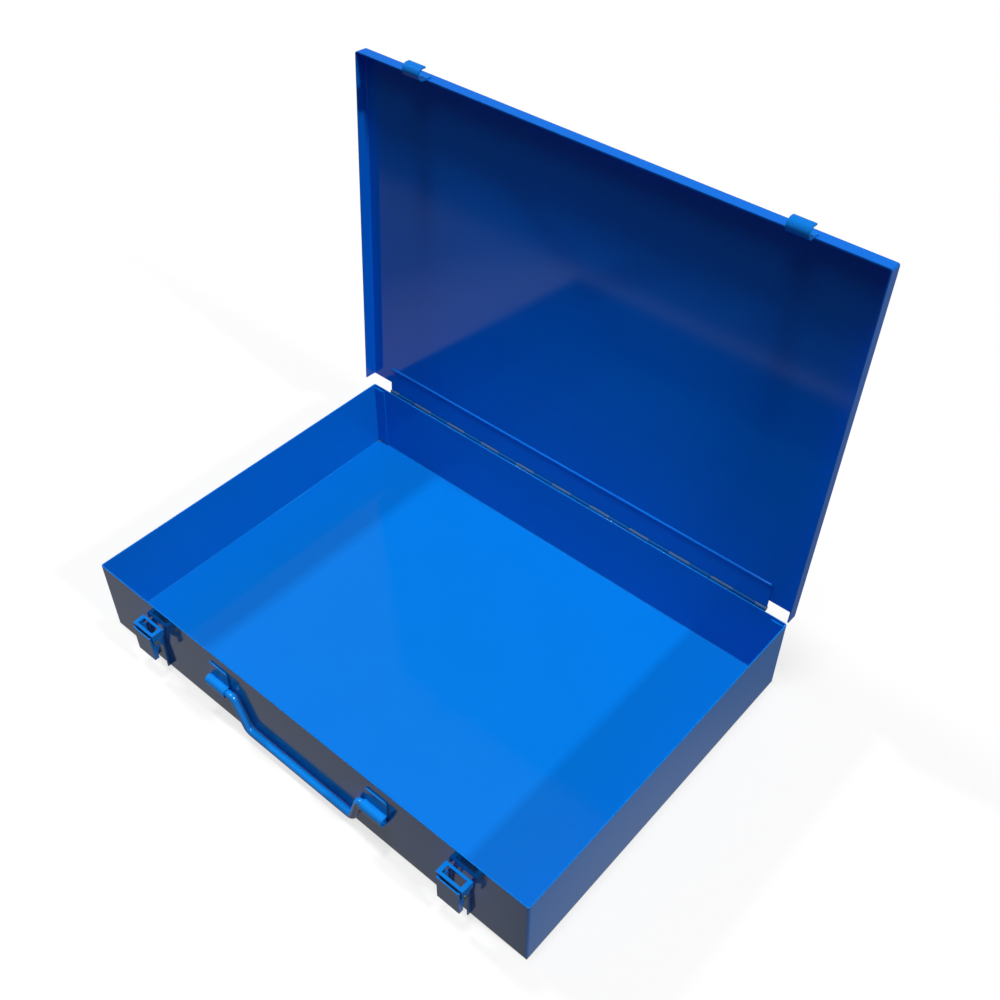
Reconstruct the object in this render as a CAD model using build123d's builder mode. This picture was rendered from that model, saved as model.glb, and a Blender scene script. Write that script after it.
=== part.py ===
"""Flat folded-steel case with a hinged lid, a wire carrying handle and two draw latches.

Frame: X runs along the length, -Y is the front with handle and latches, +Z is up. The origin is
the centre of the tray's underside. The lid stands open, leaning back a little past upright.
All sizes are in millimetres.
"""

from build123d import *
from math import cos, radians, sin
import os

os.makedirs("parts", exist_ok=True)

# ---------------------------------------------------------------- driving sizes: sheet and tray
case_length = 440.0  # X, over the tray's side walls
case_depth = 304.0  # Y, over the tray's front and back walls
case_height = 69.0  # Z, underside to rim
sheet = 1.0  # steel sheet of tray and lid
bend_radius = 2.0  # outer radius of every fold
rim_rounding = 0.3  # deburred edge of the rim
corner_tab_width = 12.0  # overlap of a side wall folded on behind the front or back wall
corner_tab_drop = 3.0  # tab stops short of the rim
relief_radius = 1.3  # hole where three folds meet

# ---------------------------------------------------------------- driving sizes: lid
lid_side_gap = 2.0  # between a side wall and the lid's side flange
lid_flange_depth = 11.5  # outer face of the panel to the flange's free edge
lid_front_gap = 2.5  # between the front wall and the lid's front flange
lid_back_setback = 9.0  # hinge axis to the panel's rear edge
lid_lean = 3.5  # degrees past upright when open

# ---------------------------------------------------------------- driving sizes: hinge
hinge_end_inset = 20.0  # hinge stops this far short of the tray's ends
hinge_sheet = 0.8
hinge_pin_radius = 1.0
hinge_bore_clearance = 0.05
knuckle_pitch = 20.0
knuckle_gap = 0.3  # between neighbouring knuckles, and round each one
hinge_rim_gap = 0.3  # between the rim and the shut lid's leaf
hinge_tangent_drop = 0.8  # the tray's leaf meets its knuckles this far below the axis
hinge_base_leaf = 18.0  # leaf down the back wall, from the rim
hinge_lid_leaf = 24.5  # leaf up the lid, from the hinge axis

# ---------------------------------------------------------------- driving sizes: fittings on the front
fittings_shift = 3.0  # handle, latches and catches stand this far right of the tray's middle

# ---------------------------------------------------------------- driving sizes: carrying handle
handle_wire_radius = 3.2
handle_bearing_clearance = 0.06
handle_wall_gap = 0.4  # between the wire and the front wall
handle_rim_drop = 29.5  # rim to the handle's pivot
handle_drop = 29.3  # pivot to grip
handle_grip_left = 53.0  # middle of the fittings to the left corner of grip and leg
handle_grip_right = 58.5  # and to the right one, where the leg is steeper
handle_leg_left = 66.0  # middle of the fittings to the left corner of leg and pivot end
handle_leg_right = 67.5
handle_bend = 5.5
bracket_x = 82.5
bracket_width = 21.0
bracket_sheet = 1.2
bracket_rim_drop = 11.0  # rim to the brackets' upper edge
bracket_end_cover = 1.5  # wire end stays this far inside its sleeve
bracket_corner = 3.0

# ---------------------------------------------------------------- driving sizes: draw latch
latch_end_inset = 60.0  # tray's end to the middle of a latch
latch_sheet = 1.0
latch_running_gap = 0.3  # sideways play between neighbouring latch plates
latch_pin_radius = 1.3
latch_pin_clearance = 0.05
latch_head_radius = 2.0
latch_head_height = 0.5
latch_head_play = 0.1
ear_half_width = 8.6  # outer face of the mounting plate's ears
lever_pivot_out = 10.0  # from the front wall
lever_rim_drop = 23.2  # rim to the lever pin
claw_pivot_back = 0.8  # claw pin sits this far behind the lever pin
claw_pivot_drop = 4.2  # and this far below it
ear_radius = 2.4
ear_root_top = -2.6  # where the ears meet the wall, from the lever pin
ear_waist_out = 5.6  # the ears' front edge stands this far out where it turns down to the foot
ear_waist_drop = 7.0  # below the lever pin
lever_face_out = 13.6  # outer face of the lever from the front wall
lever_top_rise = 1.6  # lever's upper edge above its pin
lever_shoulder_drop = 16.6  # lever pin to where the lever's sides get shallow
lever_length = 23.1  # lever pin to the lever's lower edge
lever_tail_depth = 4.0  # sides of the lever along its lower end
lever_eye_radius = 2.4
lever_rear_out = 5.4  # rear edge of the lever's sides round its pins
lever_rear_drop = 9.5  # and how far below the lever pin it reaches
claw_eye_radius = 2.6
claw_frame_out = 11.9  # front edge of the claw's frame from the wall
claw_frame_back = 1.5  # gap between the frame and the wall
claw_catch_gap = 0.3  # the idle claw stays this far below the shut lid's catch
claw_window_half = 8.55
claw_back_bar = 2.2
claw_front_bar = 2.4
claw_cheek_height = 5.5  # cheeks keep the frame's depth for this far down
base_plate_bottom = 5.0
base_plate_drop = 17.6  # lever pin to where the sides turn out towards the ears
base_flange_top = 3.0  # depth of the sides there
base_flange_foot = 4.0  # and at the foot

# ---------------------------------------------------------------- driving sizes: lid catch
catch_width = 16.5
catch_sheet = 1.2
catch_start = 7.0  # upper end of the catch below the lid's top
catch_throat = 7.8  # room between flange strap and lip
catch_bend_centre = 15.3  # below the lid's top
catch_lip = 2.7

# ---------------------------------------------------------------- worked out from the sizes above
half_length = case_length / 2
half_depth = case_depth / 2
hinge_length = case_length - 2 * hinge_end_inset
inner_radius = bend_radius - sheet

knuckle_radius = hinge_pin_radius + hinge_bore_clearance + hinge_sheet
hinge_bore = hinge_pin_radius + hinge_bore_clearance
hinge_y = half_depth + knuckle_gap + knuckle_radius
hinge_z = case_height + hinge_rim_gap + hinge_sheet / 2

lid_bottom_level = hinge_sheet / 2  # panel's inner face above the hinge axis, lid closed
lid_top_level = lid_bottom_level + sheet
lid_rear = -lid_back_setback
lid_front = -(hinge_y + half_depth + lid_front_gap + sheet)
lid_length = case_length + 2 * (lid_side_gap + sheet)

lid_frame = Plane(
    origin=(0, hinge_y, hinge_z),
    x_dir=(1, 0, 0),
    z_dir=(0, cos(radians(lid_lean)), -sin(radians(lid_lean))),
)


def lid_side_view(x):
    """Plane across the lid: its axes are the closed lid's Y and Z, measured from the hinge axis."""
    return Plane(
        origin=lid_frame.from_local_coords(Vector(x, 0, 0)),
        x_dir=lid_frame.y_dir,
        z_dir=lid_frame.x_dir,
    )


def front_side_view(x):
    """Plane across the front wall: local x is the distance out from the wall, local y the height."""
    return Plane(origin=(x, -half_depth, 0), x_dir=(0, -1, 0), z_dir=(-1, 0, 0))


def front_view(out):
    """Plane parallel to the front wall, this far out from it: local axes are X and Z."""
    return Plane(origin=(0, -half_depth - out, 0), x_dir=(1, 0, 0), z_dir=(0, -1, 0))


def save(builder, name):
    """Label a finished piece and write it under its node name."""
    builder.part.label = name
    export_step(builder.part, f"parts/{name}.step")


# ---------------------------------------------------------------- tray
with BuildPart() as base_tray:
    with BuildSketch():
        RectangleRounded(case_length, case_depth, bend_radius)
    extrude(amount=case_height)
    fillet(base_tray.edges().group_by(Axis.Z)[0], radius=bend_radius)
    offset(amount=-sheet, openings=base_tray.faces().sort_by(Axis.Z)[-1])
    fillet(base_tray.edges().group_by(Axis.Z)[-1], radius=rim_rounding)
    tab_foot = bend_radius + sheet
    tab_height = case_height - corner_tab_drop - tab_foot
    for x_side in (-1, 1):
        for y_side in (-1, 1):
            tab_x = x_side * (half_length - sheet - corner_tab_width / 2)
            tab_y = y_side * (half_depth - 1.5 * sheet)
            with Locations((tab_x, tab_y, tab_foot + tab_height / 2)):
                Box(corner_tab_width, sheet, tab_height)
            relief_x = x_side * (half_length - bend_radius)
            relief_y = y_side * (half_depth - bend_radius)
            with Locations((relief_x, relief_y, 0)):
                Cylinder(relief_radius, 2 * tab_foot, mode=Mode.SUBTRACT)
save(base_tray, "base_tray")

# ---------------------------------------------------------------- lid: panel and three flanges
lid_panel_depth = lid_rear - lid_front
lid_middle = (lid_rear + lid_front) / 2
with BuildPart() as lid_shell:
    with BuildSketch(lid_frame.offset(lid_top_level - lid_flange_depth)):
        with Locations((0, lid_middle)):
            Rectangle(lid_length, lid_panel_depth)
    extrude(amount=lid_flange_depth)
    lid_up = Axis(lid_frame.origin, lid_frame.z_dir)
    lid_backward = Axis(lid_frame.origin, lid_frame.y_dir)
    front_posts = lid_shell.edges().filter_by(lid_up).group_by(lid_backward)[0]
    fillet(front_posts, radius=bend_radius)
    top_face = lid_shell.faces().sort_by(lid_up)[-1]
    rear_edge = top_face.edges().sort_by(lid_backward)[-1]
    fillet(top_face.edges() - ShapeList([rear_edge]), radius=bend_radius)
    bottom_face = lid_shell.faces().sort_by(lid_up)[0]
    rear_face = lid_shell.faces().sort_by(lid_backward)[-1]
    offset(amount=-sheet, openings=[bottom_face, rear_face])
    with BuildSketch(lid_frame):
        relief_y = lid_front + bend_radius
        with Locations(
            (-lid_length / 2 + bend_radius, relief_y), (lid_length / 2 - bend_radius, relief_y)
        ):
            Circle(relief_radius)
    extrude(amount=2 * lid_top_level, mode=Mode.SUBTRACT)
save(lid_shell, "lid_shell")


# ---------------------------------------------------------------- hinge
def knuckle_spans(on_tray):
    """Start and end of each knuckle along X; the tray's leaf has the half knuckles at both ends."""
    count = int(round(hinge_length / knuckle_pitch))
    edges = [-hinge_length / 2]
    for step in range(count):
        edges.append(-hinge_length / 2 + knuckle_pitch * (step + 0.5))
    edges.append(hinge_length / 2)
    spans = []
    for index in range(len(edges) - 1):
        if (index % 2 == 0) == on_tray:
            low = edges[index] + (knuckle_gap / 2 if index > 0 else 0)
            high = edges[index + 1] - (knuckle_gap / 2 if index < len(edges) - 2 else 0)
            spans.append((low, high))
    return spans


knuckle_room = knuckle_radius + knuckle_gap
with BuildPart() as hinge_leaf_base:
    leaf_top = hinge_z - knuckle_room
    leaf_low = case_height - hinge_base_leaf
    with Locations((0, half_depth + hinge_sheet / 2, (leaf_top + leaf_low) / 2)):
        Box(hinge_length, hinge_sheet, leaf_top - leaf_low)
    for low, high in knuckle_spans(on_tray=True):
        with BuildSketch(Plane.YZ.offset(low)):
            tangent_z = hinge_z - hinge_tangent_drop
            with Locations((half_depth + hinge_sheet / 2, (leaf_low + tangent_z) / 2)):
                Rectangle(hinge_sheet, tangent_z - leaf_low)
            with Locations((hinge_y, hinge_z)):
                Circle(knuckle_radius)
        extrude(amount=high - low)
    with BuildSketch(Plane.YZ):
        with Locations((hinge_y, hinge_z)):
            Circle(hinge_bore)
    extrude(amount=hinge_length / 2, both=True, mode=Mode.SUBTRACT)
save(hinge_leaf_base, "hinge_leaf_base")

with BuildPart() as hinge_leaf_lid:
    with BuildSketch(lid_frame.offset(-hinge_sheet / 2)):
        with Locations((0, -(knuckle_room + hinge_lid_leaf) / 2)):
            Rectangle(hinge_length, hinge_lid_leaf - knuckle_room)
    extrude(amount=hinge_sheet)
    for low, high in knuckle_spans(on_tray=False):
        with BuildSketch(lid_side_view(low)):
            Circle(knuckle_radius)
            with Locations((-hinge_lid_leaf / 2, 0)):
                Rectangle(hinge_lid_leaf, hinge_sheet)
        extrude(amount=high - low)
    with BuildSketch(lid_side_view(0)):
        Circle(hinge_bore)
    extrude(amount=hinge_length / 2, both=True, mode=Mode.SUBTRACT)
save(hinge_leaf_lid, "hinge_leaf_lid")

with BuildPart() as hinge_pin:
    with BuildSketch(Plane.YZ):
        with Locations((hinge_y, hinge_z)):
            Circle(hinge_pin_radius)
    extrude(amount=hinge_length / 2, both=True)
save(hinge_pin, "hinge_pin")

# ---------------------------------------------------------------- carrying handle and its brackets
# Each bracket is a strip bent over the wire, which is held between the strip and the front wall.
sleeve_bore = handle_wire_radius + handle_bearing_clearance
sleeve_radius = sleeve_bore + bracket_sheet
handle_out = handle_wire_radius + handle_wall_gap
handle_pivot_height = case_height - handle_rim_drop
bracket_top = case_height - bracket_rim_drop
handle_grip_height = handle_pivot_height - handle_drop
handle_end = bracket_x + bracket_width / 2 - bracket_end_cover
handle_end_plane = Plane(
    origin=(fittings_shift - handle_end, -half_depth - handle_out, handle_pivot_height), z_dir=(1, 0, 0)
)
with BuildPart() as carry_handle:
    with BuildLine(front_view(handle_out)):
        FilletPolyline(
            (fittings_shift - handle_end, handle_pivot_height),
            (fittings_shift - handle_leg_left, handle_pivot_height),
            (fittings_shift - handle_grip_left, handle_grip_height),
            (fittings_shift + handle_grip_right, handle_grip_height),
            (fittings_shift + handle_leg_right, handle_pivot_height),
            (fittings_shift + handle_end, handle_pivot_height),
            radius=handle_bend,
        )
    with BuildSketch(handle_end_plane):
        Circle(handle_wire_radius)
    sweep()
save(carry_handle, "carry_handle")

for side, bracket_middle in (
    ("left", fittings_shift - bracket_x),
    ("right", fittings_shift + bracket_x),
):
    with BuildPart() as handle_bracket:
        with BuildSketch(front_side_view(bracket_middle)):
            with Locations((handle_out, handle_pivot_height)):
                Circle(sleeve_radius)
            with Locations((handle_out / 2, handle_pivot_height)):
                Rectangle(handle_out, 2 * sleeve_radius)
            with Locations((-sleeve_radius / 2, handle_pivot_height)):
                Rectangle(sleeve_radius, 2 * sleeve_radius, mode=Mode.SUBTRACT)
            with Locations((bracket_sheet / 2, (handle_pivot_height + bracket_top + sleeve_bore) / 2)):
                Rectangle(bracket_sheet, bracket_top - handle_pivot_height - sleeve_bore)
            with Locations((handle_out, handle_pivot_height)):
                Circle(sleeve_bore, mode=Mode.SUBTRACT)
            with Locations((handle_out / 2, handle_pivot_height)):
                Rectangle(handle_out, 2 * sleeve_bore, mode=Mode.SUBTRACT)
        extrude(amount=bracket_width / 2, both=True)
        upper_corners = handle_bracket.edges().filter_by(Axis.Y).group_by(Axis.Z)[-1]
        fillet(upper_corners, radius=bracket_corner)
    save(handle_bracket, f"handle_bracket_{side}")

# ---------------------------------------------------------------- draw latches
latch_x = half_length - latch_end_inset
lever_pivot_height = case_height - lever_rim_drop
lever_shoulder = lever_pivot_height - lever_shoulder_drop
lever_bottom = lever_pivot_height - lever_length
base_plate_top = lever_pivot_height - base_plate_drop
ear_top_at_wall = lever_pivot_height + ear_root_top
ear_waist = (ear_waist_out, lever_pivot_height - ear_waist_drop)
claw_pivot_out = lever_pivot_out - claw_pivot_back
claw_pivot_height = lever_pivot_height - claw_pivot_drop
pin_bore = latch_pin_radius + latch_pin_clearance
lever_inner_half = ear_half_width + latch_running_gap
lever_half = lever_inner_half + latch_sheet
pin_head_half = lever_half + latch_head_play + latch_head_height
claw_inner_half = pin_head_half + latch_running_gap
claw_half = claw_inner_half + latch_sheet
claw_head_half = claw_half + latch_head_play + latch_head_height
lever_top = lever_pivot_height + lever_top_rise
lever_inside = lever_face_out - latch_sheet
ear_flank = ear_radius * sin(radians(45))  # the ears' lower edge leaves the round end halfway down
catch_bend_outer = catch_throat / 2 + catch_sheet
shut_catch_low = hinge_z + lid_top_level - catch_bend_centre - catch_bend_outer
claw_frame_top = shut_catch_low - claw_catch_gap
claw_frame_bottom = claw_frame_top - latch_sheet

lever_pin_at = (lever_pivot_out, lever_pivot_height)
claw_pin_at = (claw_pivot_out, claw_pivot_height)


def paired_planes(middle, half_outside):
    """Mid-planes of a latch piece's two side plates, whose outer faces are half_outside from its middle."""
    offset_to_plate = half_outside - latch_sheet / 2
    return [front_side_view(middle - offset_to_plate), front_side_view(middle + offset_to_plate)]


for side, latch_middle in (
    ("left", fittings_shift - latch_x),
    ("right", fittings_shift + latch_x),
):
    # Mounting plate: a channel on the wall, whose sides rise into two ears that hold the lever pin.
    with BuildPart() as latch_base:
        with BuildSketch(front_view(0)):
            with Locations((latch_middle, (base_plate_bottom + ear_top_at_wall) / 2)):
                Rectangle(2 * ear_half_width, ear_top_at_wall - base_plate_bottom)
        extrude(amount=latch_sheet)
        for plane in paired_planes(latch_middle, ear_half_width):
            with BuildSketch(plane):
                with BuildLine():
                    Polyline(
                        (0, base_plate_bottom),
                        (base_flange_foot, base_plate_bottom),
                        (base_flange_top, base_plate_top),
                        ear_waist,
                        (lever_pivot_out - ear_flank, lever_pivot_height - ear_flank),
                        (lever_pivot_out, lever_pivot_height),
                        (lever_pivot_out, lever_pivot_height + ear_radius),
                        (0, ear_top_at_wall),
                        close=True,
                    )
                make_face()
                with Locations(lever_pin_at):
                    Circle(ear_radius)
            extrude(amount=latch_sheet / 2, both=True)
        with BuildSketch(front_side_view(latch_middle)):
            with Locations(lever_pin_at):
                Circle(pin_bore)
        extrude(amount=ear_half_width, both=True, mode=Mode.SUBTRACT)
    save(latch_base, f"latch_base_{side}")

    # Lever: a channel, deep round its two pins and shallow along its lower end.
    with BuildPart() as latch_lever:
        with BuildSketch(front_view(lever_inside)):
            with Locations((latch_middle, (lever_top + lever_bottom) / 2)):
                Rectangle(2 * lever_half, lever_top - lever_bottom)
        extrude(amount=latch_sheet)
        for plane in paired_planes(latch_middle, lever_half):
            with BuildSketch(plane):
                with Locations(lever_pin_at, claw_pin_at):
                    Circle(lever_eye_radius)
                with BuildLine():
                    Polyline(
                        (lever_face_out, lever_top),
                        (lever_face_out, lever_bottom),
                        (lever_face_out - lever_tail_depth, lever_bottom),
                        (lever_face_out - lever_tail_depth, lever_shoulder),
                        (lever_rear_out, lever_pivot_height - lever_rear_drop),
                        (lever_rear_out, lever_pivot_height),
                        (claw_pivot_out, lever_top),
                        close=True,
                    )
                make_face()
            extrude(amount=latch_sheet / 2, both=True)
        with BuildSketch(front_side_view(latch_middle)):
            with Locations(lever_pin_at, claw_pin_at):
                Circle(pin_bore)
        extrude(amount=lever_half, both=True, mode=Mode.SUBTRACT)
    save(latch_lever, f"latch_lever_{side}")

    # Claw: a flat frame that drops over the lid's catch, with two cheeks down to its pin.
    with BuildPart() as latch_claw:
        frame_depth = claw_frame_out - claw_frame_back
        window_depth = frame_depth - claw_back_bar - claw_front_bar
        window_y = -half_depth - claw_frame_back - claw_back_bar - window_depth / 2
        with BuildSketch(Plane.XY.offset(claw_frame_bottom)):
            with Locations((latch_middle, -half_depth - claw_frame_back - frame_depth / 2)):
                Rectangle(2 * claw_half, frame_depth)
            with Locations((latch_middle, window_y)):
                Rectangle(2 * claw_window_half, window_depth, mode=Mode.SUBTRACT)
        extrude(amount=latch_sheet)
        for plane in paired_planes(latch_middle, claw_half):
            with BuildSketch(plane):
                with Locations(claw_pin_at):
                    Circle(claw_eye_radius)
                with BuildLine():
                    Polyline(
                        (claw_frame_back, claw_frame_top),
                        (claw_frame_back, claw_frame_top - claw_cheek_height),
                        (claw_pivot_out - claw_eye_radius, claw_pivot_height),
                        (claw_pivot_out + claw_eye_radius, claw_pivot_height),
                        (claw_frame_out, claw_frame_top - claw_cheek_height),
                        (claw_frame_out, claw_frame_top),
                        close=True,
                    )
                make_face()
            extrude(amount=latch_sheet / 2, both=True)
        with BuildSketch(front_side_view(latch_middle)):
            with Locations(claw_pin_at):
                Circle(pin_bore)
        extrude(amount=claw_half, both=True, mode=Mode.SUBTRACT)
    save(latch_claw, f"latch_claw_{side}")

    # Pins: each is a rivet with a flat head at both ends.
    for name, pin_at, half_over_heads in (
        ("lever_pin", lever_pin_at, pin_head_half),
        ("claw_pin", claw_pin_at, claw_head_half),
    ):
        with BuildPart() as latch_pin:
            with BuildSketch(front_side_view(latch_middle)):
                with Locations(pin_at):
                    Circle(latch_pin_radius)
            extrude(amount=half_over_heads, both=True)
            for head_x in (
                latch_middle - half_over_heads + latch_head_height / 2,
                latch_middle + half_over_heads - latch_head_height / 2,
            ):
                with BuildSketch(front_side_view(head_x)):
                    with Locations(pin_at):
                        Circle(latch_head_radius)
                extrude(amount=latch_head_height / 2, both=True)
        save(latch_pin, f"{name}_{side}")

    # Catch on the lid's front flange: a strap bent into an upward hook when the lid is shut.
    with BuildPart() as lid_catch:
        bend_y = lid_front - catch_bend_outer
        bend_z = lid_top_level - catch_bend_centre
        with BuildSketch(lid_side_view(latch_middle)):
            with Locations((bend_y, bend_z)):
                Circle(catch_bend_outer)
                Circle(catch_throat / 2, mode=Mode.SUBTRACT)
            with Locations((bend_y, bend_z + catch_bend_outer / 2)):
                Rectangle(2 * catch_bend_outer, catch_bend_outer, mode=Mode.SUBTRACT)
            strap_height = catch_bend_centre - catch_start
            with Locations((lid_front - catch_sheet / 2, bend_z + strap_height / 2)):
                Rectangle(catch_sheet, strap_height)
            with Locations((bend_y - catch_bend_outer + catch_sheet / 2, bend_z + catch_lip / 2)):
                Rectangle(catch_sheet, catch_lip)
        extrude(amount=catch_width / 2, both=True)
    save(lid_catch, f"lid_catch_{side}")
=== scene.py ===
"""Looks of the folded-steel drill bit case: gloss enamel, plated pins, weld prints and a studio.

Frame: X along the length, -Y the front with handle and latches, +Z up, metres. The shapes come from
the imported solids; this script dresses them and adds the small marks that making the case leaves.
"""

import logging
import math
from dataclasses import dataclass
from enum import Enum

import bpy
import numpy as np
from mathutils import Matrix, Vector


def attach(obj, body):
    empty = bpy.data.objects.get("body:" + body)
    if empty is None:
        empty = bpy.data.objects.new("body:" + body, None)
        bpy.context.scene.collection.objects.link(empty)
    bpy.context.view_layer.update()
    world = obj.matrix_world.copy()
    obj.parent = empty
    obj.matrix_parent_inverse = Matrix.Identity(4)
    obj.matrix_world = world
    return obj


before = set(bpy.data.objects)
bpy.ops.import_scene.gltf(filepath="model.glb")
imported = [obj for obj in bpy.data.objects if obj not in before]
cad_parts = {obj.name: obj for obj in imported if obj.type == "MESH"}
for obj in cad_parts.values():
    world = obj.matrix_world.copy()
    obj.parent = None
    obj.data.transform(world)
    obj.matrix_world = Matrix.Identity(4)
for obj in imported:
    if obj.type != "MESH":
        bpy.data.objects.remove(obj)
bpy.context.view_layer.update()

log = logging.getLogger("drill_bit_case")
logging.basicConfig(level=logging.INFO, format="%(name)s: %(message)s")

MM = 0.001
WHITE = (1.0, 1.0, 1.0, 1.0)
BLACK = (0.0, 0.0, 0.0, 1.0)
SMOOTH = {"interpolation_type": "SMOOTHSTEP"}
HINGE_AXIS = (0.15415, 0.0697)  # y and z of the pin's middle line
Triple = tuple[float, float, float]


# ------------------------------------------------------------------------------------ colour, nodes
def linear(colour: str) -> tuple[float, float, float, float]:
    """Turns an sRGB hex colour into linear RGBA.

    Args:
        colour: six hex digits after a hash sign.

    Returns:
        Linear red, green, blue and an alpha of 1.
    """
    parts = [int(colour[i : i + 2], 16) / 255 for i in (1, 3, 5)]
    red, green, blue = (c / 12.92 if c <= 0.04045 else ((c + 0.055) / 1.055) ** 2.4 for c in parts)
    return red, green, blue, 1.0


def add_node(
    tree: bpy.types.NodeTree, kind: str, settings: dict | None = None, **links: bpy.types.NodeSocket
) -> bpy.types.Node:
    """Adds one node, sets its properties and sockets, and links its inputs.

    Args:
        tree: the node tree to add to.
        kind: Blender's node type.
        settings: attribute names, or input socket names and numbers, with their values.
        links: input sockets by name, with underscores for spaces, or by number as in_0, and the
            output sockets that feed them.

    Returns:
        The new node.
    """
    node = tree.nodes.new(kind)
    for key, value in (settings or {}).items():
        if isinstance(key, int) or key in node.inputs:
            node.inputs[key].default_value = value
        else:
            setattr(node, key, value)
    for key, source in links.items():
        name = key.replace("_", " ")
        socket = node.inputs[int(name[3:])] if name.startswith("in ") else node.inputs[name]
        tree.links.new(source, socket)
    return node


def fresh_material(name: str) -> tuple[bpy.types.Material, bpy.types.NodeTree]:
    """Makes an empty node material.

    Args:
        name: the material's name.

    Returns:
        The material and its cleared node tree.
    """
    material = bpy.data.materials.new(name)
    material.use_nodes = True
    material.node_tree.nodes.clear()
    return material, material.node_tree


# ----------------------------------------------------------------------------------------- finishes
@dataclass(frozen=True)
class GlossEnamel:
    """Blue stove enamel, sprayed on degreased sheet steel and baked: deep colour under a wet gloss.

    The eye sees soft mirror images with the faint orange peel of a sprayed coat, and here and there
    a speck of dust that was baked in.
    """

    name: str
    colour: str = "#0379DA"
    roughness: float = 0.10
    haze_spread: tuple[float, float] = (0.85, 1.25)
    peel_mm: float = 3.2
    peel_height_mm: float = 0.006
    cloud_mm: float = 55.0
    cloud_strength: float = 0.05
    speck_step_mm: float = 15.4
    speck_share: float = 0.035
    speck_height: float = 1.6
    # Painted light round the hinge's axis: the axis, the colour mixed in near it, and how far it
    # reaches.
    painted_light_axis: tuple[float, float] | None = None
    painted_light_colour: str = "#0357A2"
    painted_light_reach_mm: tuple[float, float] = (2.0, 3.2)

    def material(self) -> bpy.types.Material:
        """Builds the node material.

        Returns:
            The material.
        """
        material, tree = fresh_material(self.name)
        place = add_node(tree, "ShaderNodeTexCoord").outputs["Object"]

        # Coat thickness drifts over a few centimetres, which shifts the depth of the blue a little.
        cloud = add_node(
            tree,
            "ShaderNodeTexNoise",
            {"Scale": 1 / (self.cloud_mm * MM), "Detail": 2.0, "Roughness": 0.5},
            Vector=place,
        )
        full = linear(self.colour)
        deep = tuple(c * (1 - self.cloud_strength) for c in full[:3]) + (1.0,)
        colour = add_node(
            tree,
            "ShaderNodeMix",
            {"data_type": "RGBA", "clamp_factor": True, 6: deep, 7: full},
            in_0=cloud.outputs["Fac"],
        ).outputs[2]
        if self.painted_light_axis:
            # Painted light round the hinge's axis: near the axis a second colour changes the colour
            # of the joint, a darker blue as painted shade on the lid's knuckles and a grey blue as
            # a painted highlight on the tray's.
            across = {"operation": "MULTIPLY", 1: (0.0, 1.0, 1.0)}
            flat = add_node(tree, "ShaderNodeVectorMath", across, in_0=place)
            from_axis = {"operation": "DISTANCE", 1: (0.0, *self.painted_light_axis)}
            away = add_node(tree, "ShaderNodeVectorMath", from_axis, in_0=flat.outputs[0])
            near, far = (reach * MM for reach in self.painted_light_reach_mm)
            span = {"From Min": near, "From Max": far}
            unpainted_share = add_node(tree, "ShaderNodeMapRange", span, Value=away.outputs["Value"])
            colour = add_node(
                tree,
                "ShaderNodeMix",
                {"data_type": "RGBA", 6: linear(self.painted_light_colour)},
                in_0=unpainted_share.outputs[0],
                in_7=colour,
            ).outputs[2]

        # Orange peel: rounded cells of a few millimetres, a few microns high.
        peel = add_node(
            tree,
            "ShaderNodeTexNoise",
            {"Scale": 1 / (self.peel_mm * MM), "Detail": 1.0, "Roughness": 0.4},
            Vector=place,
        )
        # Baked-in dust: sparse points, drawn about a millimetre wide so that they show at all.
        specks = add_node(
            tree,
            "ShaderNodeTexVoronoi",
            {"Scale": 1 / (self.speck_step_mm * MM), "feature": "F1"},
            Vector=place,
        )
        speck = add_node(
            tree,
            "ShaderNodeMapRange",
            {"From Max": self.speck_share, "To Min": 1.0, "To Max": 0.0, **SMOOTH},
            Value=specks.outputs["Distance"],
        )
        relief = add_node(
            tree,
            "ShaderNodeMath",
            {"operation": "MULTIPLY_ADD", 1: self.speck_height},
            in_0=speck.outputs[0],
            in_2=peel.outputs["Fac"],
        )
        bump = add_node(
            tree,
            "ShaderNodeBump",
            {"Strength": 1.0, "Distance": self.peel_height_mm * MM},
            Height=relief.outputs[0],
        )
        smoothest, hazed = (self.roughness * share for share in self.haze_spread)
        spread = {"To Min": smoothest, "To Max": hazed}
        haze = add_node(tree, "ShaderNodeMapRange", spread, Value=cloud.outputs["Fac"])
        shader = add_node(
            tree,
            "ShaderNodeBsdfPrincipled",
            {"Metallic": 0.0, "IOR": 1.5},
            Base_Color=colour,
            Roughness=haze.outputs[0],
            Normal=bump.outputs[0],
        )
        add_node(tree, "ShaderNodeOutputMaterial", None, Surface=shader.outputs[0])
        return material


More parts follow.
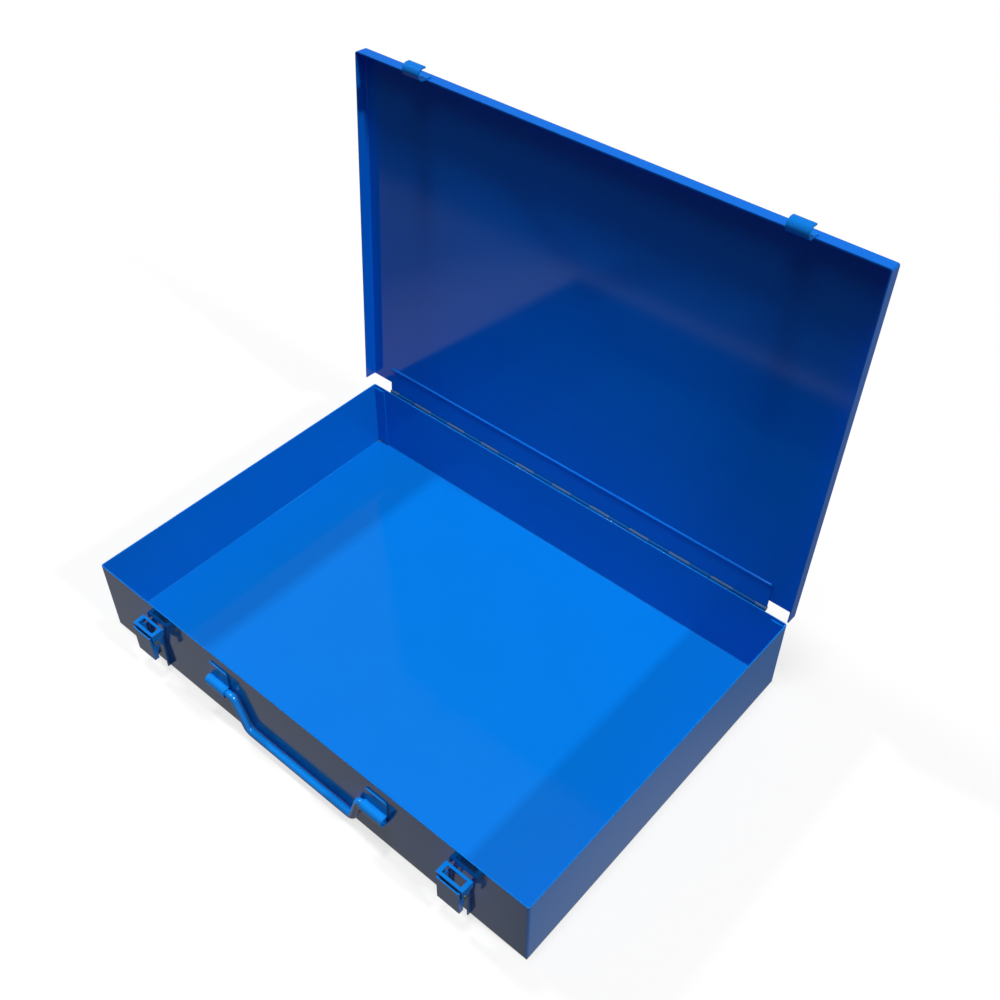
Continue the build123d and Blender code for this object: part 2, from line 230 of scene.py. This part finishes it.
@dataclass(frozen=True)
class ZincPlatedSteel:
    """Bright zinc plate on a cold-headed steel pin.

    The eye sees a grey metal with a faint warm cast, dulled by fine scuffs.
    """

    name: str = "zinc_plated_cold_headed_steel"
    colour: str = "#B9B49E"
    roughness: float = 0.32
    roughness_spread: tuple[float, float] = (0.7, 1.3)
    scuff_mm: float = 0.35
    scuff_depth_mm: float = 0.01
    scuff_strength: float = 0.4

    def material(self) -> bpy.types.Material:
        """Builds the node material.

        Returns:
            The material.
        """
        material, tree = fresh_material(self.name)
        place = add_node(tree, "ShaderNodeTexCoord").outputs["Object"]
        scuff = add_node(
            tree,
            "ShaderNodeTexNoise",
            {"Scale": 1 / (self.scuff_mm * MM), "Detail": 3.0, "Roughness": 0.6},
            Vector=place,
        )
        bright, dull = (self.roughness * share for share in self.roughness_spread)
        spread = {"To Min": bright, "To Max": dull}
        rough = add_node(tree, "ShaderNodeMapRange", spread, Value=scuff.outputs["Fac"])
        bump = add_node(
            tree,
            "ShaderNodeBump",
            {"Strength": self.scuff_strength, "Distance": self.scuff_depth_mm * MM},
            Height=scuff.outputs["Fac"],
        )
        shader = add_node(
            tree,
            "ShaderNodeBsdfPrincipled",
            {"Base Color": linear(self.colour), "Metallic": 1.0},
            Roughness=rough.outputs[0],
            Normal=bump.outputs[0],
        )
        add_node(tree, "ShaderNodeOutputMaterial", None, Surface=shader.outputs[0])
        return material


@dataclass(frozen=True)
class PaleFloor:
    """Seamless matt card under the case: white to the eye, with the case's soft shadow.

    The eye meets white card, and gloss a dimmer one. As a source of light the card is dark grey, so
    that little of it spills onto the walls. Its sizes are in metres.
    """

    name: str = "matt_white_card_seamless"
    seen: str = "#F4F4F4"
    lit: str = "#2C2C2C"
    near: float = 0.42
    far: float = 1.15
    nearest: float = 0.74
    mirrored_near: float = 0.50
    mirrored_far: float = 0.19
    brightest_at: Triple = (-0.08, -0.06, 0.0)
    dims_from: float = 0.26
    dims_to: float = 0.40
    # Painted shade under the case: its middle, half size, soft edge and the light left inside.
    under_middle: Triple = (0.0, 0.0, 0.0)
    under_half: Triple = (0.2194, 0.1514, 0.0)
    under_soft: float = 0.0006
    under_light: float = 0.03
    edge_from: float = -0.268
    edge_to: float = -0.290

    def material(self) -> bpy.types.Material:
        """Builds the node material: white to the eye, dimmer in gloss, dark as a source of light.

        Returns:
            The material.
        """
        material, tree = fresh_material(self.name)
        rays = add_node(tree, "ShaderNodeLightPath")
        gloss = add_node(
            tree,
            "ShaderNodeMath",
            {"operation": "MAXIMUM"},
            in_0=rays.outputs["Is Glossy Ray"],
            in_1=rays.outputs["Is Transmission Ray"],
        )
        # The card that gloss picks up ends a hand's width in front of the case.
        place = add_node(tree, "ShaderNodeTexCoord").outputs["Object"]
        axes = add_node(tree, "ShaderNodeSeparateXYZ", None, in_0=place)
        card_edge = add_node(
            tree,
            "ShaderNodeMapRange",
            {"From Min": self.edge_to, "From Max": self.edge_from, **SMOOTH},
            Value=axes.outputs["Y"],
        )
        from_brightest = {"operation": "DISTANCE", 1: self.brightest_at}
        away = add_node(tree, "ShaderNodeVectorMath", from_brightest, in_0=place)
        dimming = add_node(
            tree,
            "ShaderNodeMapRange",
            {
                "From Min": self.dims_from,
                "From Max": self.dims_to,
                "To Min": self.mirrored_near,
                "To Max": self.mirrored_far,
                **SMOOTH,
            },
            Value=away.outputs["Value"],
        )
        card_level = add_node(
            tree,
            "ShaderNodeMath",
            {"operation": "MULTIPLY"},
            in_0=card_edge.outputs[0],
            in_1=dimming.outputs[0],
        )
        pale = add_node(
            tree,
            "ShaderNodeMath",
            {"operation": "MULTIPLY_ADD"},
            in_0=gloss.outputs[0],
            in_1=card_level.outputs[0],
            in_2=rays.outputs["Is Camera Ray"],
        )
        colour = add_node(
            tree,
            "ShaderNodeMix",
            {"data_type": "RGBA", 6: linear(self.lit), 7: linear(self.seen)},
            in_0=rays.outputs["Is Camera Ray"],
        )
        card = add_node(tree, "ShaderNodeBsdfDiffuse", None, Color=colour.outputs[2])

        # The card runs out into plain white away from the case, where it holds no shadow.
        reach = add_node(tree, "ShaderNodeVectorMath", {"operation": "LENGTH"}, in_0=place)
        fade = add_node(
            tree,
            "ShaderNodeMapRange",
            {"From Min": self.near, "From Max": self.far, "To Min": self.nearest, **SMOOTH},
            Value=reach.outputs["Value"],
        )
        share = add_node(
            tree,
            "ShaderNodeMath",
            {"operation": "MULTIPLY"},
            in_0=fade.outputs[0],
            in_1=pale.outputs[0],
        )
        white = add_node(tree, "ShaderNodeEmission", {"Color": WHITE, "Strength": 1.0})
        shader = add_node(tree, "ShaderNodeMixShader", None, in_0=share.outputs[0])
        tree.links.new(card.outputs[0], shader.inputs[1])
        tree.links.new(white.outputs[0], shader.inputs[2])

        # Painted shade: a black rectangle under the case, where no light gets.
        under = self.shade(
            tree, place, self.under_middle, self.under_half, self.under_soft, self.under_light
        )
        dark = add_node(tree, "ShaderNodeBsdfDiffuse", {"Color": BLACK})
        ground = add_node(tree, "ShaderNodeMixShader", None, in_0=under)
        tree.links.new(dark.outputs[0], ground.inputs[1])
        tree.links.new(shader.outputs[0], ground.inputs[2])
        add_node(tree, "ShaderNodeOutputMaterial", None, Surface=ground.outputs[0])
        return material

    @staticmethod
    def shade(
        tree: bpy.types.NodeTree,
        place: bpy.types.NodeSocket,
        middle: Triple,
        half: Triple,
        soft: float,
        darkest: float,
    ) -> bpy.types.NodeSocket:
        """Adds a soft dark rectangle of painted shade.

        Args:
            tree: the node tree to add to.
            place: the socket with the position.
            middle: the rectangle's centre in metres.
            half: half of its width and depth.
            soft: width of the soft edge outside it.
            darkest: what is left of the light inside it.

        Returns:
            The socket with the share of light that is left.
        """
        away = place
        for step in (
            {"operation": "SUBTRACT", 1: middle},
            {"operation": "ABSOLUTE"},
            {"operation": "SUBTRACT", 1: half},
            {"operation": "MAXIMUM", 1: (0.0, 0.0, 0.0)},
            {"operation": "LENGTH"},
        ):
            node = add_node(tree, "ShaderNodeVectorMath", step, in_0=away)
            away = node.outputs["Value" if step["operation"] == "LENGTH" else 0]
        left = add_node(
            tree,
            "ShaderNodeMapRange",
            {"From Max": soft, "To Min": darkest, **SMOOTH},
            Value=away,
        )
        return left.outputs[0]


# ----------------------------------------------------------------------------------------- surfaces
class Axis(Enum):
    """Directions in which a small round mark can face."""

    FRONT = (0.0, -1.0, 0.0)
    BACK = (0.0, 1.0, 0.0)


class Side(Enum):
    """The two ends of the case at which its paired fittings stand."""

    LEFT = "left"
    RIGHT = "right"


def grid_faces(rows: int, columns: int, closed: bool) -> np.ndarray:
    """Quads that join a grid of points.

    Args:
        rows: points along the first parameter.
        columns: points along the second parameter.
        closed: whether the last column joins the first.

    Returns:
        An array of corner indices, four to a face.
    """
    r = np.arange(rows - 1)[:, None]
    c = np.arange(columns if closed else columns - 1)[None, :]
    after = (c + 1) % columns
    this, following = r * columns, (r + 1) * columns
    corners = [this + c, this + after, following + after, following + c]
    return np.stack(corners, axis=-1).reshape(-1, 4)


def facing(direction: Triple) -> np.ndarray:
    """Works out a rotation whose third column is the given direction.

    Formula in words: the first column is square to the direction and to a helper axis that lies
    well away from it, and the second column is square to both.

    Args:
        direction: the way to face.

    Returns:
        A 3 by 3 rotation.
    """
    w = np.asarray(direction, float) / np.linalg.norm(direction)
    helper = np.array([1.0, 0.0, 0.0]) if abs(w[0]) < 0.9 else np.array([0.0, 1.0, 0.0])
    u = np.cross(helper, w)
    u /= np.linalg.norm(u)
    return np.stack([u, np.cross(w, u), w], axis=1)


def turned_marks(
    profile: np.ndarray, centres: np.ndarray, direction: Triple, steps: int = 24
) -> tuple[np.ndarray, list]:
    """Repeats a round mark, given by its profile, at many places.

    Formula in words: each profile point (radius r, height h) is swept round the axis. The point at
    angle t is r times cosine t along one side direction, r times sine t along the other, and h
    along the facing direction, added to the centre. One flat face closes the innermost ring.

    Args:
        profile: (n, 2) radii and heights in metres, from the outer edge to the middle.
        centres: (m, 3) positions in metres.
        direction: the way the mark faces.
        steps: points round the circle.

    Returns:
        Vertices and a list of faces.
    """
    turn = np.linspace(0, 2 * math.pi, steps, endpoint=False)
    r, h = profile[:, 0][:, None], profile[:, 1][:, None]
    local = np.stack([r * np.cos(turn), r * np.sin(turn), h + 0 * turn], axis=-1).reshape(-1, 3)
    local = local @ facing(direction).T
    points = (centres[:, None, :] + local[None, :, :]).reshape(-1, 3)
    quads = grid_faces(len(profile), steps, closed=True)
    cap = np.arange(steps)[None, :] + (len(profile) - 1) * steps
    shifts = np.arange(len(centres)) * len(local)
    faces = (quads[None] + shifts[:, None, None]).reshape(-1, 4).tolist()
    faces += (cap + shifts[:, None]).tolist()
    return points, faces


def tapered_bead(
    radius: float,
    half_length: float,
    arc: tuple[float, float],
    taper: float,
    blunt: float = 0.12,
    rings: int = 6,
    steps: int = 9,
) -> tuple[np.ndarray, list]:
    """A round bead along X that tapers off at both ends.

    Formula in words: the ring point at angle t lies at radius times cosine t up and radius times
    sine t out. Every ring is carried along X, and within the taper of an end its radius shrinks as
    a quarter circle does. The bead is closed by a flat back and by small end faces.

    Args:
        radius: the bead's radius, in the unit of the lengths below.
        half_length: half of its length.
        arc: first and last angle of the ring, in radians.
        taper: length of each tapered end.
        blunt: angle on the quarter circle at which the end face lies, in radians.
        rings: rings in each tapered end.
        steps: points round each ring.

    Returns:
        Points as rows of (along, up, out) and a list of faces.
    """
    quarter = np.linspace(blunt, math.pi / 2, rings)
    ends = half_length - taper + taper * np.cos(quarter)
    along = np.concatenate([-ends, ends[::-1]])
    scale = np.concatenate([np.sin(quarter), np.sin(quarter)[::-1]])
    turn = np.linspace(arc[0], arc[1], steps)
    up = radius * scale[:, None] * np.cos(turn)
    out = radius * scale[:, None] * np.sin(turn)
    points = np.stack([along[:, None] + 0 * up, up, out], axis=-1).reshape(-1, 3)
    last = (len(along) - 1) * steps
    faces = grid_faces(len(along), steps, closed=True).tolist()
    faces += [list(range(steps)), [last + i for i in reversed(range(steps))]]
    return points, faces


def straight_strip(profile: np.ndarray, half_length: float) -> tuple[np.ndarray, list]:
    """A strip of one cross-section along X, closed at both ends.

    Formula in words: every profile point (y, z) is carried along X, from minus to plus half the
    length.

    Args:
        profile: (n, 2) corners as y and z, anticlockwise seen from +X.
        half_length: half of the strip's length, in the profile's unit.

    Returns:
        Points as rows of (x, y, z) and a list of faces.
    """
    count = len(profile)
    ends = np.repeat([-half_length, half_length], count)[:, None]
    points = np.hstack([ends, np.tile(profile, (2, 1))])
    faces = grid_faces(2, count, closed=True).tolist()
    faces += [list(reversed(range(count))), list(range(count, 2 * count))]
    return points, faces


def new_piece(
    name: str, points: np.ndarray, faces: list, finish: bpy.types.Material, body: str
) -> None:
    """Makes a smooth-shaded piece, dresses it and lets it ride on a body.

    Args:
        name: the piece's name.
        points: vertices in the row frame, in metres.
        faces: corner indices.
        finish: the material.
        body: the CAD body that carries it.
    """
    mesh = bpy.data.meshes.new(name)
    mesh.from_pydata(points.tolist(), [], faces)
    mesh.polygons.foreach_set("use_smooth", np.ones(len(mesh.polygons), bool))
    mesh.materials.append(finish)
    mesh.update()
    piece = bpy.data.objects.new(name, mesh)
    bpy.context.scene.collection.objects.link(piece)
    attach(piece, body)
    log.info("%s: %d faces, rides on %s", name, len(faces), body)


def dress(node: str, finish: bpy.types.Material) -> None:
    """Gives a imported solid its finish.

    Args:
        node: the CAD node's name.
        finish: the material.
    """
    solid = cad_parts[node]
    solid.data.materials.clear()
    solid.data.materials.append(finish)
    log.info("%s wears %s", node, finish.name)


# ----------------------------------------------------------------------------------- sub-assemblies
@dataclass(frozen=True)
class SpotWeld:
    """The print that a welding electrode leaves under the enamel: a low ring, a flat middle."""

    radius: float = 2.4 * MM
    ring: float = 0.09 * MM
    sink: float = 0.03 * MM
    slope: float = 0.7
    shares: tuple[float, ...] = (1.0, 0.94, 0.86, 0.78, 0.70, 0.30)

    def profile(self) -> np.ndarray:
        """Works out the print's outline.

        Returns:
            Radii and heights from the outer edge to the middle.
        """
        flank = self.slope * self.ring
        heights = np.array([0.0, flank, self.ring, flank, self.sink, self.sink])
        return np.stack([self.radius * np.array(self.shares), heights], axis=1)

    def marks(self, centres: list[Triple], direction: Triple) -> tuple[np.ndarray, list]:
        """Makes one print at each centre.

        Args:
            centres: places in millimetres.
            direction: the way the prints face.

        Returns:
            Vertices and a list of faces.
        """
        return turned_marks(self.profile(), np.array(centres) * MM, direction)


@dataclass
class Tray:
    """The open tray: folded walls, with corner tabs welded on inside and the hinge leaf outside.

    Its sizes are in millimetres.
    """

    finish: bpy.types.Material
    weld: SpotWeld = SpotWeld()
    back_y: float = 152.0
    leaf_weld_z: float = 60.0
    leaf_weld_step: float = 50.0
    leaf_welds: int = 8
    tab_x: float = 213.0
    tab_weld_z: tuple[float, float] = (22.0, 46.0)

    def build(self) -> None:
        """Dresses the tray and prints the welds on the outside of its back wall."""
        dress("base_tray", self.finish)
        # The hinge leaf lies over its own row of prints, so only the tabs' prints show.
        along = self.leaf_weld_step * (np.arange(self.leaf_welds) - (self.leaf_welds - 1) / 2)
        leaf = [(x, self.back_y, self.leaf_weld_z) for x in along]
        tabs = [(side * self.tab_x, self.back_y, z) for side in (-1, 1) for z in self.tab_weld_z]
        points, faces = self.weld.marks(leaf + tabs, Axis.BACK.value)
        new_piece("tray_weld_prints", points, faces, self.finish, "tray")


@dataclass
class Lid:
    """The lid's panel with its flanges, and the two catches.

    Its sizes are in millimetres and degrees, measured from the hinge's axis.
    """

    finish: bpy.types.Material
    catch_finish: bpy.types.Material
    weld: SpotWeld = SpotWeld()
    axis_y: float = 154.15
    axis_z: float = 69.7
    lean: float = 3.5
    panel_inside: float = 0.4
    panel_outside: float = 1.4
    leaf_up: float = 24.5
    leaf_half_length: float = 200.0
    bead_radius: float = 1.4
    bead_arc: tuple[float, float] = (-0.1, math.radians(115))
    bead_taper: float = 2.0
    weld_step: float = 50.0
    welds: int = 8

    def place(self, points: np.ndarray) -> np.ndarray:
        """Moves points from the open lid's own axes into the frame.

        Args:
            points: rows of (along, up the panel, out to the front) in millimetres from the
                hinge's axis.

        Returns:
            Rows of (x, y, z) in metres.
        """
        s, c = math.sin(math.radians(self.lean)), math.cos(math.radians(self.lean))
        turn = np.array([[1.0, 0.0, 0.0], [0.0, s, c], [0.0, -c, s]])
        return (points @ turn + np.array([0.0, self.axis_y, self.axis_z])) * MM

    def build(self) -> None:
        """Dresses the lid and its catches, and adds the leaf's enamel bead and weld prints."""
        dress("lid_shell", self.finish)
        for side in Side:
            dress(f"lid_catch_{side.value}", self.catch_finish)
        # Wet enamel gathers along the leaf's edge and dries as a bright round bead.
        points, faces = tapered_bead(
            self.bead_radius, self.leaf_half_length, self.bead_arc, self.bead_taper
        )
        points = points + np.array([0.0, self.leaf_up, -self.panel_inside])
        new_piece("leaf_edge_bead", self.place(points), faces, self.finish, "lid")
        outward = self.place(np.array([[0.0, 0.0, -1.0]])) - self.place(np.zeros((1, 3)))
        along = self.weld_step * (np.arange(self.welds) - (self.welds - 1) / 2)
        rest = np.tile([self.leaf_up / 2, -self.panel_outside], (self.welds, 1))
        centres = np.column_stack([along, rest])
        points, faces = turned_marks(self.weld.profile(), self.place(centres), tuple(outward[0]))
        new_piece("lid_weld_prints", points, faces, self.finish, "lid")


@dataclass
class Hinge:
    """The piano hinge: two rolled leaves on one pin.

    Its sizes are in millimetres.
    """

    finish: bpy.types.Material
    # Painted highlight: the grey blue on the knuckles that stay with the tray.
    highlight_finish: bpy.types.Material
    pin_finish: bpy.types.Material
    half_length: float = 200.0
    wall_y: float = 152.0
    seam_width: float = 0.28
    seam_z: tuple[float, float] = (67.6, 69.2)
    seam_round: float = 0.1

    def build(self) -> None:
        """Dresses the leaves and the pin, and fills the seam behind the rim with a strip of painted
        shade.
        """
        dress("hinge_leaf_base", self.highlight_finish)
        dress("hinge_leaf_lid", self.finish)
        dress("hinge_pin", self.pin_finish)
        # A strip in the joint's enamel closes the seam between the back wall and the knuckles, so
        # that the seam reads dark: painted shade in place of the shadow seen through it.
        inner, outer = self.wall_y - self.seam_round, self.wall_y + self.seam_width
        low, high = self.seam_z
        shoulder, inner_shoulder = high - self.seam_round, high - self.seam_round / 2
        crown = inner + 2 * self.seam_round
        profile = np.array(
            [(inner, low), (outer, low), (outer, shoulder), (crown, high), (inner, inner_shoulder)]
        )
        points, faces = straight_strip(profile, self.half_length)
        new_piece("hinge_seam_shade_strip", points * MM, faces, self.finish, "tray")


@dataclass
class Handle:
    """The wire handle and the two straps that carry it.

    Its sizes are in millimetres.
    """

    finish: bpy.types.Material
    bracket_finish: bpy.types.Material
    weld: SpotWeld = SpotWeld(radius=1.9 * MM)
    middle_x: float = 3.0
    bracket_x: float = 82.5
    weld_x: float = 5.5
    plate_y: float = -153.2
    weld_z: float = 53.2

    def build(self) -> None:
        """Dresses the handle and its brackets, with two weld prints on each bracket."""
        dress("carry_handle", self.finish)
        for side, sign in ((Side.LEFT, -1), (Side.RIGHT, 1)):
            dress(f"handle_bracket_{side.value}", self.bracket_finish)
            middle = self.middle_x + sign * self.bracket_x
            places = (middle - self.weld_x, middle + self.weld_x)
            centres = [(x, self.plate_y, self.weld_z) for x in places]
            points, faces = self.weld.marks(centres, Axis.FRONT.value)
            name = f"bracket_weld_prints_{side.value}"
            new_piece(name, points, faces, self.bracket_finish, "tray")


@dataclass
class Latch:
    """One draw latch: mounting plate, lever, claw and two pins."""

    side: Side
    finish: bpy.types.Material
    pin_finish: bpy.types.Material

    def build(self) -> None:
        """Dresses the latch."""
        for part in ("latch_base", "latch_lever", "latch_claw"):
            dress(f"{part}_{self.side.value}", self.finish)
        for part in ("lever_pin", "claw_pin"):
            dress(f"{part}_{self.side.value}", self.pin_finish)


# ------------------------------------------------------------------------------------------- studio
@dataclass(frozen=True)
class Lamp:
    """One square area lamp, aimed at the middle of the case, in metres and watts."""

    name: str
    at: Triple
    size: float
    power: float

    def hang(self) -> None:
        """Puts the lamp in its place and turns it to the case."""
        lamp = bpy.data.lights.new(self.name, "AREA")
        lamp.shape = "SQUARE"
        lamp.size = self.size
        lamp.energy = self.power
        holder = bpy.data.objects.new(self.name, lamp)
        holder.location = self.at
        holder.rotation_mode = "QUATERNION"
        holder.rotation_quaternion = (-Vector(self.at)).to_track_quat("-Z", "Y")
        bpy.context.scene.collection.objects.link(holder)


@dataclass
class Studio:
    """Pale floor, a softbox in front, a lamp overhead, a copy lamp on each side, and the camera.

    Its sizes are in metres, but for the lens and the sensor. The air is the world's light.
    """

    floor_size: float = 14.0
    floor_drop: float = 0.0002
    camera_at: Triple = (0.43994, -0.43867, 0.77045)
    camera_forward: Triple = (-0.467635, 0.545172, -0.695777)
    camera_up: Triple = (-0.458330, 0.523512, 0.718240)
    lens_mm: float = 43.556
    sensor_mm: float = 36.0
    clip: tuple[float, float] = (0.01, 50.0)
    air_front: float = 0.07
    air_back: float = 0.42
    air_mirrored: float = 0.11
    air_turns: tuple[float, float] = (0.25, 0.95)
    lamps: tuple[Lamp, ...] = (
        Lamp("front_softbox", (0.15, -0.42, 2.05), 0.60, 5.5),
        Lamp("overhead_lamp", (0.05, -0.20, 6.00), 0.63, 140.0),
        Lamp("left_copy_lamp", (-3.04, 0.0, 2.53), 0.34, 73.0),
        Lamp("right_copy_lamp", (3.04, 0.0, 2.53), 0.20, 61.4),
    )

    def build_floor(self) -> None:
        """Lays the floor just under the case."""
        half = self.floor_size / 2
        mesh = bpy.data.meshes.new("studio_floor")
        corners = [(-half, -half, 0.0), (half, -half, 0.0), (half, half, 0.0), (-half, half, 0.0)]
        mesh.from_pydata(corners, [], [(0, 1, 2, 3)])
        mesh.materials.append(PaleFloor().material())
        floor = bpy.data.objects.new("studio_floor", mesh)
        floor.location.z = -self.floor_drop
        bpy.context.scene.collection.objects.link(floor)

    def build_lights(self) -> None:
        """Hangs the lamps and sets the world, which is brighter behind the case than in front."""
        for lamp in self.lamps:
            lamp.hang()
        world = bpy.data.worlds.new("studio_air")
        world.use_nodes = True
        tree = world.node_tree
        tree.nodes.clear()
        direction = add_node(tree, "ShaderNodeTexCoord").outputs["Generated"]
        axes = add_node(tree, "ShaderNodeSeparateXYZ", None, in_0=direction)
        light = add_node(
            tree,
            "ShaderNodeMapRange",
            {
                "From Min": self.air_turns[0],
                "From Max": self.air_turns[1],
                "To Min": self.air_front,
                "To Max": self.air_back,
                **SMOOTH,
            },
            Value=axes.outputs["Y"],
        )
        rays = add_node(tree, "ShaderNodeLightPath")
        level = add_node(
            tree,
            "ShaderNodeMix",
            {"data_type": "FLOAT", "clamp_factor": True, 3: self.air_mirrored},
            in_0=rays.outputs["Is Glossy Ray"],
            in_2=light.outputs[0],
        )
        # To the eye the room beyond the card is as white as the card.
        seen = add_node(
            tree,
            "ShaderNodeMath",
            {"operation": "MAXIMUM"},
            in_0=level.outputs[0],
            in_1=rays.outputs["Is Camera Ray"],
        )
        air = add_node(tree, "ShaderNodeBackground", {"Color": WHITE}, Strength=seen.outputs[0])
        add_node(tree, "ShaderNodeOutputWorld", None, Surface=air.outputs[0])
        bpy.context.scene.world = world

    def build_camera(self) -> None:
        """Sets up the camera from its place, forward and up directions."""
        forward = Vector(self.camera_forward).normalized()
        right = forward.cross(Vector(self.camera_up)).normalized()
        up = right.cross(forward)
        turn = Matrix((right, up, -forward)).transposed()
        lens = bpy.data.cameras.new("studio_camera")
        lens.lens = self.lens_mm
        lens.sensor_width = self.sensor_mm
        lens.sensor_fit = "AUTO"
        lens.clip_start, lens.clip_end = self.clip
        camera = bpy.data.objects.new("studio_camera", lens)
        camera.matrix_world = Matrix.Translation(self.camera_at) @ turn.to_4x4()
        bpy.context.scene.collection.objects.link(camera)
        bpy.context.scene.camera = camera

    def build(self) -> None:
        """Builds the whole studio."""
        self.build_floor()
        self.build_lights()
        self.build_camera()
        view = bpy.context.scene.view_settings
        view.view_transform = "Standard"
        log.info("studio ready")


def main() -> None:
    """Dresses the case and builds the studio."""
    # Wide flat sheet: bright blue with clear mirror images.
    panel = GlossEnamel("gloss_stove_enamel_on_folded_steel").material()
    # The lid's sheet: the same gloss, a shade deeper, as painted shade for a lid that the lamps
    # reach only at a slant.
    shaded_lid_panel = GlossEnamel("gloss_stove_enamel_on_lid_panel_in_painted_shade", colour="#036DDA").material()
    # Round wire: a thinner, lighter coat with a narrow highlight along it.
    wire = GlossEnamel(
        "gloss_stove_enamel_on_steel_wire", colour="#0A8EF4", roughness=0.11, peel_mm=2.0
    ).material()
    # Bent strip: a light coat, a little duller than the wire it holds.
    strap = GlossEnamel(
        "gloss_stove_enamel_on_bent_strip", colour="#0A8AF0", roughness=0.13, peel_mm=2.4
    ).material()
    # Small pressings: the same coat with a softer shine and a finer peel.
    pressing = GlossEnamel(
        "gloss_stove_enamel_on_pressed_steel", roughness=0.13, peel_mm=2.4
    ).material()
    # Knuckles that turn with the lid: the lid's deeper blue, with painted shade round the hinge's
    # axis that darkens them to a duller blue.
    joint = GlossEnamel(
        "gloss_stove_enamel_with_painted_shade_at_the_hinge",
        colour="#036DDA",
        roughness=0.16,
        peel_mm=2.4,
        painted_light_axis=HINGE_AXIS,
    ).material()
    # Knuckles that stay with the tray: the lid's deeper blue, and a grey blue round the hinge's
    # axis as a painted highlight along their tops.
    knuckle_highlight = GlossEnamel(
        "stove_enamel_with_painted_highlight_on_rolled_knuckles",
        colour="#036DDA",
        roughness=0.22,
        peel_mm=2.4,
        painted_light_axis=HINGE_AXIS,
        painted_light_colour="#416899",
    ).material()
    # Pins: a grey metal shine.
    plated = ZincPlatedSteel().material()

    Tray(panel).build()
    Lid(shaded_lid_panel, pressing).build()
    Hinge(joint, knuckle_highlight, plated).build()
    Handle(wire, strap).build()
    for side in Side:
        Latch(side, pressing, plated).build()
    Studio().build()


if __name__ == "__main__":
    main()
